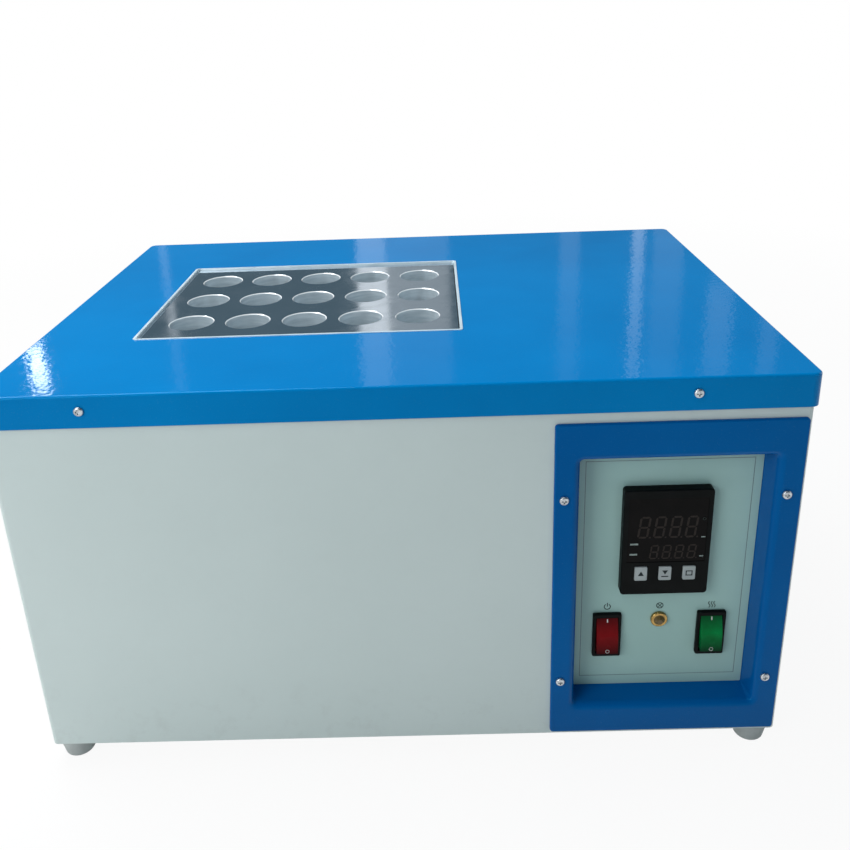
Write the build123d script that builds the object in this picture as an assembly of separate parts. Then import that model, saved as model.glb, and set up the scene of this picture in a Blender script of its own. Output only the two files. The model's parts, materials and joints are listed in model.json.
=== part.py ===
"""Dry-block reactor for digesting water samples: a sheet-metal cabinet with an aluminium heater block
of fifteen vessel wells under its top cover, and a recessed control panel at the front right.

Every size is in millimetres. Places are given from the cabinet itself: x from its left side, y behind its
front face and z above its bottom edge. The origin of the part is on the bench, under the middle of the
whole object, with +X to the right, +Y to the back and +Z up.
"""
from build123d import *
from math import radians, tan
import os

# ---------------------------------------------------------------- cabinet
cabinet_depth = 458.0
cabinet_height = 335.5
cabinet_sheet = 1.5
cabinet_corner_r = 5.0
top_flange = 14.0
bottom_flange = 46.0
back_flange = 14.0
base_gap = 0.5
foot_height = 19.0

# ---------------------------------------------------------------- top cover
cover_sheet = 1.5
cover_gap = 1.5
cover_edge_r = 2.2
skirt_height = 27.0
opening_lip = 7.0
opening_corner_r = 1.5
opening_left = 86.0
opening_front = 116.5
opening_width = 287.0
opening_depth = 223.0
opening_to_panel = 66.8
trim_width = 1.8
trim_sheet = 0.6
trim_corner_r = 2.0

# ---------------------------------------------------------------- heater block and its wells
block_gap = 1.6
block_sunk = 1.6
block_height = 175.0
well_columns = 5
well_rows = 3
well_pitch_x = 52.5
well_pitch_y = 66.0
well_diameter = 40.0
well_depth = 150.0
well_chamfer = 0.8

# ---------------------------------------------------------------- heating chamber
jacket_thickness = 35.0
jacket_gap = 0.5
tub_sheet = 1.2
tub_rim = 12.0
tub_below_cover = 12.0
jacket_below_rim = 2.0
base_wool_thickness = 48.0
heater_space = 12.0
pillar_diameter = 20.0
pillar_inset = 20.0
leg_angle = 25.0
leg_wall = 2.0
heater_thickness = 5.0
heater_length = 203.0
heater_width = 44.0
heater_pitch = 62.0
clamp_thickness = 4.0
clamp_width = 190.0
clamp_screw_inset = 20.0
clamp_screw_grip = 10.0
clamp_hole_depth = 12.0
probe_radius = 3.0
probe_depth = 60.0
probe_head_radius = 6.0
probe_head_length = 6.0

# ---------------------------------------------------------------- control panel
panel_width = 193.2
panel_bottom = 3.2
panel_right_margin = 3.5
panel_top_margin = 35.0
panel_proud = 3.0
panel_corner_r = 3.0
panel_edge_r = 1.5
panel_sheet = 2.5
tray_depth = 22.0
tray_taper = 8.0
tray_edge_r = 6.0
tray_corner_r = 4.0
tray_margin_left = 19.7
tray_margin_right = 20.1
tray_margin_bottom = 28.7
tray_margin_top = 31.1
tray_gap = 0.6
label_margin = 0.4
label_thickness = 0.25
label_corner_r = 1.0
controls_offset = 2.2

# ---------------------------------------------------------------- controller, 72 mm wide
bezel_width = 72.0
bezel_height = 99.0
bezel_thickness = 8.5
bezel_corner_r = 3.0
bezel_edge_r = 1.2
controller_above_panel_bottom = 181.3
controller_body_width = 67.5
controller_body_height = 94.5
controller_body_depth = 84.0
controller_cutout_gap = 0.3
window_width = 64.0
window_height = 60.0
window_rise = 12.0
window_thickness = 1.5
window_sunk = 0.5
key_width = 10.4
key_height = 13.0
key_pitch = 19.8
key_drop = 28.5
key_proud = 0.9
key_length = 4.0
key_gap = 0.25
key_travel = 0.8
key_corner_r = 1.2
key_edge_r = 0.4
clamp_foot_width = 14.0
clamp_foot_height = 8.0
clamp_foot_length = 24.0
clamp_screw_reach = 6.0
clamp_screw_radius = 1.6

# ---------------------------------------------------------------- rocker switches
switch_width = 24.2
switch_height = 43.5
switch_proud = 3.5
switch_corner_r = 1.5
switch_edge_r = 0.8
switch_body_width = 22.2
switch_body_height = 39.8
switch_body_depth = 24.0
switch_above_panel_bottom = 86.6
switch_spacing = 88.6
rocker_width = 18.4
rocker_half_height = 16.5
rocker_ridge = 8.6
rocker_shoulder = 6.9
rocker_back = 4.5
rocker_back_half_height = 8.0
rocker_gap = 0.4
rocker_swing_gap = 0.5
rocker_edge_r = 0.6
rocker_cheek = 2.0
rocker_well_clearance = 4.0
rocker_tilt = 10.0
rocker_pivot_behind_rim = 4.8
trunnion_radius = 1.5
trunnion_length = 1.0
trunnion_gap = 0.08
blade_width = 6.3
blade_thickness = 0.8
blade_length = 9.0
blade_pitch_x = 10.0
blade_pitch_z = 18.0

# ---------------------------------------------------------------- load lamp
lamp_above_panel_bottom = 100.8
lamp_bezel_diameter = 14.4
lamp_bezel_height = 2.6
lamp_lens_diameter = 9.6
lamp_lens_height = 5.4
lamp_lens_facets = 8
lamp_facet_taper = 38.0
lamp_thread_diameter = 10.0
lamp_length = 22.0
lamp_nut_width = 14.0
lamp_nut_height = 3.0
lamp_bezel_edge_r = 1.2

# ---------------------------------------------------------------- fasteners
screw_diameter = 4.0
screw_hole_gap = 0.2
screw_head_diameter = 7.6
screw_head_height = 2.3
screw_length = 9.0
socket_width = 1.2
socket_depth = 1.1
panel_screw_from_left = 7.9
panel_screw_from_right = 12.0
panel_screw_heights = (55.6, 232.2)
cover_screw_x = (80.0, 546.4)
cover_screw_below_top = 12.8

# ---------------------------------------------------------------- back
back_sheet = 1.2
back_margin = 4.0
back_screw_inset_x = 8.0
back_screw_inset_z = 6.0
gland_from_right = 76.5
gland_z = 60.0
gland_hole_radius = 4.2
gland_thread_radius = 10.0
gland_nut_width = 26.0
gland_flange = 5.0
gland_dome = 12.0
gland_dome_radius = 11.0
gland_dome_edge_r = 5.0
gland_barrel = 12.0
gland_nut_height = 5.0
fuse_from_right = 136.5
fuse_z = 60.0
fuse_body_radius = 6.2
fuse_flange_radius = 9.5
fuse_flange = 2.5
fuse_cap_radius = 6.8
fuse_cap_height = 9.0
fuse_length = 34.0
fuse_stem_length = 18.0
fuse_nut_width = 17.0
fuse_nut_height = 4.0
fuse_slot_width = 1.4
fuse_slot_depth = 1.5
fit_gap = 0.15
fuse_stem_radius = 4.0
fuse_turn_gap = 0.08

# ---------------------------------------------------------------- ventilation louvres
louvre_length = 60.0
louvre_pitch = 15.0
louvre_height = 8.0
louvre_proud = 4.0
louvre_wall = 1.2
side_louvre_rows = 8
side_louvre_columns = 2
side_louvre_spacing = 20.0
side_louvre_bottom = 90.0
back_louvre_rows = 8
back_louvre_columns = 5
back_louvre_spacing = 15.0
back_louvre_bottom = 120.0
back_louvre_left = 90.0
vent_length = 60.0
vent_width = 5.0
vent_pitch = 18.0
vent_count = 9
vent_row_pitch = 90.0
vent_rows = 2
vent_from_right = 111.5
vent_y = 200.0

# ---------------------------------------------------------------- electrical compartment
shield_gap = 1.0
shield_sheet = 1.2
shield_foot = 15.0
shield_inset = 20.0
shield_hole_radius = 10.0
shield_hole_z = 60.0
sink_from_shield = 99.0
sink_y = 250.0
sink_length = 100.0
sink_height = 80.0
sink_base = 5.0
fin_count = 9
fin_thickness = 2.0
fin_length = 28.0
relay_width = 45.0
relay_height = 58.0
relay_depth = 22.0
relay_terminal_pitch_y = 28.0
relay_terminal_pitch_z = 44.0
relay_terminal_width = 11.0
relay_terminal_height = 9.0
relay_terminal_depth = 8.0
strip_from_shield = 109.0
strip_y = 360.0
strip_ways = 8
strip_pitch = 11.0
strip_width = 22.0
strip_height = 15.0
strip_hole_pitch = 12.0
strip_hole_radius = 2.6
strip_hole_depth = 9.0

# ---------------------------------------------------------------- feet
foot_top_diameter = 32.0
foot_tip_diameter = 25.0
foot_tip_edge_r = 3.0
foot_inset = 16.5
foot_recess_radius = 7.0
foot_recess_depth = 9.0
foot_screw_radius = 2.5
foot_washer_height = 3.0
foot_washer_gap = 1.0
foot_nut_width = 8.0
foot_nut_height = 4.0
foot_screw_end = 6.0

# ---------------------------------------------------------------- worked out from the sizes above
panel_left = opening_left + opening_width + opening_to_panel
cabinet_width = panel_left + panel_width + panel_right_margin
cover_rise = cabinet_height + cover_sheet
cover_screw_z = cover_rise - cover_screw_below_top
cover_reach = cover_gap + cover_sheet
cover_corner_r = cabinet_corner_r + cover_reach
front_reach = panel_proud + screw_head_height
back_reach = back_sheet + gland_flange + gland_dome
middle_y = (cabinet_depth + back_reach - front_reach) / 2
base_top = 2 * cabinet_sheet

block_left = opening_left + block_gap
block_front = opening_front + block_gap
block_width = opening_width - 2 * block_gap
block_depth = opening_depth - 2 * block_gap
block_top = cover_rise - block_sunk
block_bottom = block_top - block_height
block_x = opening_left + opening_width / 2
block_y = opening_front + opening_depth / 2
block_right = block_left + block_width
block_back = block_front + block_depth

tub_left = block_left - jacket_thickness - tub_sheet
tub_right = block_right + jacket_thickness + tub_sheet
tub_front = block_front - jacket_thickness - tub_sheet
tub_back = block_back + jacket_thickness + tub_sheet
tub_top = cover_rise - tub_below_cover
jacket_top = tub_top - jacket_below_rim
wool_bottom = block_bottom - heater_space - base_wool_thickness
tub_bottom = wool_bottom - tub_sheet
jacket_bottom = block_bottom - heater_space
well_rows_y = [block_y + (row - (well_rows - 1) / 2) * well_pitch_y for row in range(well_rows)]
well_columns_x = [block_x + (col - (well_columns - 1) / 2) * well_pitch_x for col in range(well_columns)]
probe_y = (well_rows_y[0] + well_rows_y[1]) / 2
probe_z = block_top - well_depth / 2

shield_x = tub_right + tub_rim + shield_gap
sink_x = shield_x + sink_from_shield
strip_x = shield_x + strip_from_shield
gland_x = cabinet_width - gland_from_right
fuse_x = cabinet_width - fuse_from_right

panel_height = cabinet_height - panel_top_margin - panel_bottom
tray_left = panel_left + tray_margin_left
tray_bottom = panel_bottom + tray_margin_bottom
tray_width = panel_width - tray_margin_left - tray_margin_right
tray_height = panel_height - tray_margin_bottom - tray_margin_top
tray_inset = tray_depth * tan(radians(tray_taper))
label_left = tray_left + tray_inset + label_margin
label_bottom = tray_bottom + tray_inset + label_margin
label_width = tray_width - 2 * (tray_inset + label_margin)
label_height = tray_height - 2 * (tray_inset + label_margin)
controls_x = panel_left + panel_width / 2 - controls_offset
controller_x = controls_x
controller_z = panel_bottom + controller_above_panel_bottom
switch_z = panel_bottom + switch_above_panel_bottom
mains_switch_x = controls_x - switch_spacing / 2
heat_switch_x = controls_x + switch_spacing / 2
lamp_x = controls_x
lamp_z = panel_bottom + lamp_above_panel_bottom
panel_screw_x = (panel_left + panel_screw_from_left, panel_left + panel_width - panel_screw_from_right)
panel_screw_z = [panel_bottom + height for height in panel_screw_heights]
tray_floor = tray_depth - panel_proud
label_front = tray_floor - label_thickness
through_tray = (tray_floor - 3, tray_floor + 5)
bezel_front = label_front - bezel_thickness
switch_rim = label_front - switch_proud
rocker_pivot = switch_rim + rocker_pivot_behind_rim
screw_radius = screw_diameter / 2
screw_hole_radius = screw_radius + screw_hole_gap / 2


# ---------------------------------------------------------------- placing helpers
def at(x, y, z):
    """Moves a shape from the part's origin to a place given from the cabinet."""
    return Pos(x - cabinet_width / 2, y - middle_y, z + foot_height)


def block(x, y, z):
    """A box between the (low, high) pairs x, y and z, given from the cabinet."""
    size = (x[1] - x[0], y[1] - y[0], z[1] - z[0])
    return at(sum(x) / 2, sum(y) / 2, sum(z) / 2) * Box(*size)


def rod_x(x, y, z, radius):
    return at(sum(x) / 2, y, z) * Rot(0, 90, 0) * Cylinder(radius, x[1] - x[0])


def rod_y(x, y, z, radius):
    return at(x, sum(y) / 2, z) * Rot(90, 0, 0) * Cylinder(radius, y[1] - y[0])


def rod_z(x, y, z, radius):
    return at(x, y, sum(z) / 2) * Cylinder(radius, z[1] - z[0])


def rounded_plate(x, y, z, radius):
    """A box whose four edges along y are rounded, such as a panel seen from the front."""
    outline = RectangleRounded(x[1] - x[0], z[1] - z[0], radius)
    plate = extrude(Plane.XZ * outline, (y[1] - y[0]) / 2, both=True)
    return at(sum(x) / 2, sum(y) / 2, sum(z) / 2) * plate


def upright_box(x, y, z, radius):
    """A box whose four upright edges are rounded."""
    outline = RectangleRounded(x[1] - x[0], y[1] - y[0], radius)
    return at(sum(x) / 2, sum(y) / 2, z[0]) * extrude(outline, z[1] - z[0])


def span(centre, width):
    return (centre - width / 2, centre + width / 2)


def grow(pair, margin):
    return (pair[0] - margin, pair[1] + margin)


# ---------------------------------------------------------------- fasteners
def pan_screw(length):
    """A pan-head screw with a cross recess, its head's underside at z = 0 and its shank down to -length."""
    head = Pos(0, 0, screw_head_height / 2) * Cylinder(screw_head_diameter / 2, screw_head_height)
    top = head.edges().sort_by(Axis.Z)[-1]
    head = fillet(top, screw_head_height * 0.7)
    shank = Pos(0, 0, -length / 2) * Cylinder(screw_radius, length)
    arm = Box(screw_head_diameter * 0.5, socket_width, socket_depth)
    cross = Pos(0, 0, screw_head_height - socket_depth / 2) * (arm + Rot(0, 0, 90) * arm)
    return head + shank - cross


def screw_front(x, y, z):
    """A screw driven in from the front, its head seated at y."""
    return at(x, y, z) * Rot(90, 0, 0) * pan_screw(screw_length)


def screw_back(x, y, z):
    """A screw driven in from the back, its head seated at y."""
    return at(x, y, z) * Rot(-90, 0, 0) * pan_screw(screw_length)


def hexagon_nut(width, height, hole_radius):
    """A hexagon nut on the z axis, from z = 0 to its height."""
    outline = RegularPolygon(width / 2, 6, major_radius=False) - Circle(hole_radius)
    return extrude(outline, height)


# ---------------------------------------------------------------- ventilation
def louvre():
    """A pressed hood over its slot, standing out towards -y from a face at y = 0, open at its lower edge."""
    half = louvre_height / 2
    hollow_depth = louvre_proud - louvre_wall
    outside = Polyline((0, half), (-louvre_proud, -half), (0, -half), close=True)
    inside = Polyline((0, half - 2 * louvre_wall), (-hollow_depth, -half), (0, -half), close=True)
    hood = extrude(Plane.YZ * make_face(outside), louvre_length / 2, both=True)
    hollow = extrude(Plane.YZ * make_face(inside), louvre_length / 2 - louvre_wall, both=True)
    return hood - hollow


def louvre_slot(sheet):
    """The slot that is cut through the sheet behind one louvre."""
    width = louvre_length - 2 * louvre_wall
    height = louvre_height - 3 * louvre_wall
    return Pos(0, sheet / 2, -louvre_wall / 2) * Box(width, sheet * 1.2, height)


def side_louvre_places():
    """(y, z) of each louvre in the right side, beside the electrical compartment."""
    for column in range(side_louvre_columns):
        for row in range(side_louvre_rows):
            yield (cabinet_depth / 2 + column * (louvre_length + side_louvre_spacing),
                   side_louvre_bottom + row * louvre_pitch)


def back_louvre_places():
    """(x, z) of each louvre in the back panel, behind the heating chamber."""
    for column in range(back_louvre_columns):
        for row in range(back_louvre_rows):
            yield (back_louvre_left + column * (louvre_length + back_louvre_spacing),
                   back_louvre_bottom + row * louvre_pitch)


# ---------------------------------------------------------------- cabinet
def cabinet_shell():
    """Front, sides and inward flanges, folded from one sheet, with the hole that the tray passes through."""
    wide, deep, tall = (0, cabinet_width), (0, cabinet_depth), (0, cabinet_height)
    shell = upright_box(wide, deep, tall, cabinet_corner_r)
    inside = upright_box(
        grow(wide, -cabinet_sheet), grow(deep, -cabinet_sheet), grow(tall, -cabinet_sheet),
        cabinet_corner_r - cabinet_sheet)
    shell -= inside
    shell -= block(grow(wide, -top_flange), grow(deep, -top_flange), (cabinet_height - 5, cabinet_height + 5))
    shell -= block(grow(wide, -bottom_flange), grow(deep, -bottom_flange), (-5, 5))
    back_opening_top = cabinet_height - skirt_height - back_flange
    shell -= block(grow(wide, -back_flange), (cabinet_depth - 5, cabinet_depth + 5),
                   (back_flange, back_opening_top))
    tray_x = grow((tray_left, tray_left + tray_width), panel_sheet + tray_gap)
    tray_z = grow((tray_bottom, tray_bottom + tray_height), panel_sheet + tray_gap)
    shell -= rounded_plate(tray_x, (-5, 5), tray_z, tray_corner_r + panel_sheet)
    for x in panel_screw_x:
        for z in panel_screw_z:
            shell -= rod_y(x, (-5, 5), z, screw_hole_radius)
    for x in cover_screw_x:
        shell -= rod_y(x, (-5, 5), cover_screw_z, screw_hole_radius)
        shell -= rod_y(x, (cabinet_depth - 5, cabinet_depth + 5), cover_screw_z, screw_hole_radius)
    for x, z in back_screw_places():
        shell -= rod_y(x, (cabinet_depth - 5, cabinet_depth + 5), z, screw_hole_radius)
    for x, y in foot_places():
        shell -= rod_z(x, y, (-5, 5), foot_screw_radius + fit_gap)
    hood = Rot(0, 0, 90) * louvre()
    slot = Rot(0, 0, 90) * louvre_slot(cabinet_sheet)
    for y, z in side_louvre_places():
        shell -= at(cabinet_width, y, z) * slot
        shell += at(cabinet_width, y, z) * hood
    return shell


def base_plate():
    """The bottom sheet, lying on the shell's bottom flange, with rows of vent slots."""
    gap = cabinet_sheet + base_gap
    plate = upright_box((gap, cabinet_width - gap), (gap, cabinet_depth - gap), (cabinet_sheet, base_top),
                        cabinet_corner_r - gap)
    for x, y in foot_places():
        plate -= rod_z(x, y, (0, 5), foot_screw_radius + fit_gap)
    slots = GridLocations(vent_pitch, vent_row_pitch, vent_count, vent_rows)
    slot = extrude(SlotOverall(vent_length, vent_width, rotation=90), 10, both=True)
    for place in slots.locations:
        plate -= at(cabinet_width - vent_from_right, vent_y, base_top) * place * slot
    return plate


def back_screw_places():
    """(x, z) of the screws that hold the back panel."""
    top = cabinet_height - skirt_height - back_margin - back_screw_inset_z
    bottom = back_margin + back_screw_inset_z
    for x in (back_screw_inset_x, cabinet_width / 2, cabinet_width - back_screw_inset_x):
        for z in (bottom, top):
            yield (x, z)


def back_panel():
    """The removable rear sheet with its louvres and the holes for the gland and the fuse holder."""
    top = cabinet_height - skirt_height - back_margin
    panel = block((back_margin, cabinet_width - back_margin), (cabinet_depth, cabinet_depth + back_sheet),
                  (back_margin, top))
    for x, z in back_screw_places():
        panel -= rod_y(x, (cabinet_depth - 5, cabinet_depth + 5), z, screw_hole_radius)
    panel -= rod_y(gland_x, (cabinet_depth - 5, cabinet_depth + 5), gland_z, gland_thread_radius + fit_gap)
    panel -= rod_y(fuse_x, (cabinet_depth - 5, cabinet_depth + 5), fuse_z, fuse_body_radius + fit_gap)
    hood = Rot(0, 0, 180) * louvre()
    slot = Rot(0, 0, 180) * louvre_slot(back_sheet)
    for x, z in back_louvre_places():
        panel -= at(x, cabinet_depth + back_sheet, z) * slot
        panel += at(x, cabinet_depth + back_sheet, z) * hood
    return panel


# ---------------------------------------------------------------- top cover
def top_cover():
    """The deep-drawn lid: a sheet with skirts all round and a lipped opening over the heater block."""
    wide = grow((0, cabinet_width), cover_reach)
    deep = grow((0, cabinet_depth), cover_reach)
    low = cover_rise - skirt_height
    cover = upright_box(wide, deep, (low, cover_rise), cover_corner_r)
    rim = cover.faces().sort_by(Axis.Z)[-1].edges()
    cover = fillet(rim, cover_edge_r)
    inside = upright_box(grow(wide, -cover_sheet), grow(deep, -cover_sheet), (low - 1, cabinet_height),
                         cover_corner_r - cover_sheet)
    cover -= inside
    hole_x = (opening_left, opening_left + opening_width)
    hole_y = (opening_front, opening_front + opening_depth)
    lip_low = cover_rise - opening_lip
    cover += upright_box(grow(hole_x, cover_sheet), grow(hole_y, cover_sheet), (lip_low, cabinet_height),
                         opening_corner_r + cover_sheet)
    cover -= upright_box(hole_x, hole_y, (lip_low - 1, cover_rise + 1), opening_corner_r)
    for x in cover_screw_x:
        cover -= rod_y(x, (-5, 5), cover_screw_z, screw_hole_radius)
        cover -= rod_y(x, (cabinet_depth - 5, cabinet_depth + 5), cover_screw_z, screw_hole_radius)
    return cover


def opening_trim():
    """The thin bright angle that edges the opening: one leg lies on the cover and one lines its lip."""
    hole_x = (opening_left, opening_left + opening_width)
    hole_y = (opening_front, opening_front + opening_depth)
    top = cover_rise + trim_sheet
    low = cover_rise - opening_lip
    strip = upright_box(grow(hole_x, trim_width), grow(hole_y, trim_width), (cover_rise, top),
                        opening_corner_r + trim_width)
    strip += upright_box(hole_x, hole_y, (low, top), trim_corner_r)
    inner_x = grow(hole_x, -trim_sheet)
    inner_y = grow(hole_y, -trim_sheet)
    return strip - upright_box(inner_x, inner_y, (low - 1, top + 1), trim_corner_r - trim_sheet)


# ---------------------------------------------------------------- heater block
def heater_block():
    """The aluminium block, bored with a chamfered blind well for each vessel and a pocket for the probe."""
    metal = block((block_left, block_right), (block_front, block_back), (block_bottom, block_top))
    metal = fillet(metal.edges().filter_by(Axis.Z), opening_corner_r)
    radius = well_diameter / 2
    for x in well_columns_x:
        for y in well_rows_y:
            metal -= rod_z(x, y, (block_top - well_depth, block_top + 1), radius)
            mouth = Cone(radius, radius + well_chamfer, well_chamfer)
            metal -= at(x, y, block_top - well_chamfer / 2) * mouth
    metal -= rod_x((block_right - probe_depth, block_right + 1), probe_y, probe_z, probe_radius + fit_gap)
    for x, y in clamp_screw_places():
        metal -= rod_z(x, y, (block_bottom - 1, block_bottom + clamp_hole_depth), screw_hole_radius)
    return metal


def clamp_screw_places():
    """(x, y) of the screws that pull the clamp plate up, between the strip heaters."""
    first, last = grow(span(block_x, heater_length), -clamp_screw_inset)
    for x in (first, block_x, last):
        for y in span(block_y, heater_pitch):
            yield (x, y)


def strip_heaters():
    """Three flat heaters against the block's underside."""
    x = span(block_x, heater_length)
    z = (block_bottom - heater_thickness, block_bottom)
    return [block(x, span(block_y + step * heater_pitch, heater_width), z) for step in (-1, 0, 1)]


def clamp_plate():
    """The steel plate that presses the heaters to the block."""
    low = block_bottom - heater_thickness - clamp_thickness
    plate = block(span(block_x, heater_length), span(block_y, clamp_width), (low, low + clamp_thickness))
    for x, y in clamp_screw_places():
        plate -= rod_z(x, y, (low - 5, low + 10), screw_hole_radius)
    return plate


def clamp_screws():
    low = block_bottom - heater_thickness - clamp_thickness
    reach = heater_thickness + clamp_thickness + clamp_screw_grip
    return [at(x, y, low) * Rot(180, 0, 0) * pan_screw(reach) for x, y in clamp_screw_places()]


def block_pillars():
    """Four ceramic posts that carry the block on the tub's floor."""
    posts = []
    for x in (block_left + pillar_inset, block_right - pillar_inset):
        for y in (block_front + pillar_inset, block_back - pillar_inset):
            posts.append(rod_z(x, y, (wool_bottom, block_bottom), pillar_diameter / 2))
    return posts


def base_wool():
    """The ceramic-fibre slab under the block, with holes for the posts."""
    gap = tub_sheet + jacket_gap
    slab = block((tub_left + gap, tub_right - gap), (tub_front + gap, tub_back - gap),
                 (wool_bottom, jacket_bottom))
    for x in (block_left + pillar_inset, block_right - pillar_inset):
        for y in (block_front + pillar_inset, block_back - pillar_inset):
            slab -= rod_z(x, y, (wool_bottom - 1, jacket_bottom + 1), pillar_diameter / 2 + jacket_gap)
    return slab


def jacket_wool():
    """The ceramic-fibre ring round the block."""
    gap = tub_sheet + jacket_gap
    ring = block((tub_left + gap, tub_right - gap), (tub_front + gap, tub_back - gap),
                 (jacket_bottom, jacket_top))
    ring -= block(grow((block_left, block_right), jacket_gap), grow((block_front, block_back), jacket_gap),
                  (jacket_bottom - 1, jacket_top + 1))
    ring -= rod_x((block_right, tub_right), probe_y, probe_z, probe_radius + jacket_gap)
    return ring


def inner_tub():
    """The galvanised tub that holds the wool, open at the top with an outward rim."""
    x, y = (tub_left, tub_right), (tub_front, tub_back)
    tub = block(grow(x, tub_rim), grow(y, tub_rim), (tub_top - tub_sheet, tub_top))
    tub += block(x, y, (tub_bottom, tub_top))
    tub -= block(grow(x, -tub_sheet), grow(y, -tub_sheet), (tub_bottom + tub_sheet, tub_top + 1))
    tub -= rod_x((tub_right - 5, tub_right + 5), probe_y, probe_z, probe_radius + jacket_gap)
    return tub


def tub_legs():
    """Four steel angles that stand on the base plate and carry the tub at its corners."""
    legs = []
    tall = tub_bottom - base_top
    corner = Polyline((0, 0), (leg_angle, 0), (leg_angle, leg_wall), (leg_wall, leg_wall),
                      (leg_wall, leg_angle), (0, leg_angle), close=True)
    angle = extrude(make_face(corner), tall)
    for x, y, turn in ((tub_left, tub_front, 0), (tub_right, tub_front, 90),
                       (tub_right, tub_back, 180), (tub_left, tub_back, 270)):
        legs.append(at(x, y, base_top) * Rot(0, 0, turn) * angle)
    return legs


def temperature_probe():
    """A stainless sheath in the block's pocket, with its hexagon head against the tub."""
    tip = block_right - probe_depth + 1
    sheath = rod_x((tip, tub_right + 1), probe_y, probe_z, probe_radius)
    head = hexagon_nut(probe_head_radius * 2, probe_head_length, 1.6)
    return sheath + at(tub_right, probe_y, probe_z) * Rot(0, 90, 0) * head


# ---------------------------------------------------------------- control panel
def tray_solid(wall, depth):
    """The tapered recess of the panel, larger all round by the wall, from the panel's front to a depth."""
    wide = tray_width + 2 * wall
    tall = tray_height + 2 * wall
    outline = Plane.XZ * RectangleRounded(wide, tall, tray_corner_r + wall)
    recess = extrude(outline, -depth, taper=tray_taper)
    return at(tray_left + tray_width / 2, -panel_proud, tray_bottom + tray_height / 2) * recess


def control_panel():
    """The pressed frame: a flat land with soft edges, a tapered tray and the cut-outs for what it carries."""
    x = (panel_left, panel_left + panel_width)
    z = (panel_bottom, panel_bottom + panel_height)
    panel = rounded_plate(x, (-panel_proud, 0), z, panel_corner_r)
    panel = fillet(panel.faces().sort_by(Axis.Y)[0].edges(), panel_edge_r)
    panel += tray_solid(panel_sheet, tray_depth + panel_sheet)
    panel -= tray_solid(0, tray_depth)
    mouth = panel.faces().sort_by(Axis.Y)[0].inner_wires()[0]
    panel = fillet(mouth.edges(), tray_edge_r)
    panel -= tray_cutouts()
    for x in panel_screw_x:
        for z in panel_screw_z:
            panel -= rod_y(x, (-5, 5), z, screw_hole_radius)
    return panel


def tray_cutouts():
    """The openings through the tray's floor and label for the controller, the two switches and the lamp."""
    cuts = block(span(controller_x, controller_body_width + 2 * controller_cutout_gap), through_tray,
                 span(controller_z, controller_body_height + 2 * controller_cutout_gap))
    for x in (mains_switch_x, heat_switch_x):
        cuts += block(span(x, switch_body_width + 2 * fit_gap), through_tray,
                      span(switch_z, switch_body_height + 2 * fit_gap))
    return cuts + rod_y(lamp_x, through_tray, lamp_z, lamp_thread_diameter / 2 + fit_gap)


def panel_label():
    """The printed film in the tray, cut out round the controller, the switches and the lamp."""
    x = (label_left, label_left + label_width)
    z = (label_bottom, label_bottom + label_height)
    film = rounded_plate(x, (label_front, tray_floor), z, label_corner_r)
    return film - tray_cutouts()


def panel_screws():
    return [screw_front(x, -panel_proud, z) for x in panel_screw_x for z in panel_screw_z]


# ---------------------------------------------------------------- controller
def key_places():
    return [controller_x + step * key_pitch for step in (-1, 0, 1)]


def controller_housing():
    """The black case: a soft-edged bezel with a window recess and key pockets, and the body behind it."""
    bezel = rounded_plate(span(controller_x, bezel_width), (bezel_front, label_front),
                          span(controller_z, bezel_height), bezel_corner_r)
    bezel = fillet(bezel.faces().sort_by(Axis.Y)[0].edges(), bezel_edge_r)
    body = block(span(controller_x, controller_body_width),
                 (label_front, label_front + controller_body_depth),
                 span(controller_z, controller_body_height))
    case = bezel + body
    window_z = controller_z + window_rise
    seat = bezel_front + window_sunk + window_thickness
    case -= block(span(controller_x, window_width), (bezel_front - 1, seat), span(window_z, window_height))
    pocket = bezel_front - key_proud + key_length + key_travel + key_gap
    for x in key_places():
        case -= block(span(x, key_width + 2 * key_gap), (bezel_front - 1, pocket),
                      span(controller_z - key_drop, key_height + 2 * key_gap))
    return case


def controller_window():
    """The smoked window over the two rows of digits."""
    low = bezel_front + window_sunk
    return block(span(controller_x, window_width), (low, low + window_thickness),
                 span(controller_z + window_rise, window_height))


def controller_key(x):
    front = bezel_front - key_proud
    key = rounded_plate(span(x, key_width), (front, front + key_length),
                        span(controller_z - key_drop, key_height), key_corner_r)
    return fillet(key.faces().sort_by(Axis.Y)[0].edges(), key_edge_r)


def controller_clamps():
    """The two screw clamps that pull the controller's bezel against the panel from behind."""
    clamps = []
    back_of_panel = tray_floor + panel_sheet
    for side in (-1, 1):
        z = controller_z + side * (controller_body_height + clamp_foot_height) / 2
        foot_y = (back_of_panel + clamp_screw_reach, back_of_panel + clamp_screw_reach + clamp_foot_length)
        foot = block(span(controller_x, clamp_foot_width), foot_y, span(z, clamp_foot_height))
        rod = rod_y(controller_x, (back_of_panel, foot_y[1] + clamp_screw_reach), z, clamp_screw_radius)
        clamps.append(foot + rod)
    return clamps


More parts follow.
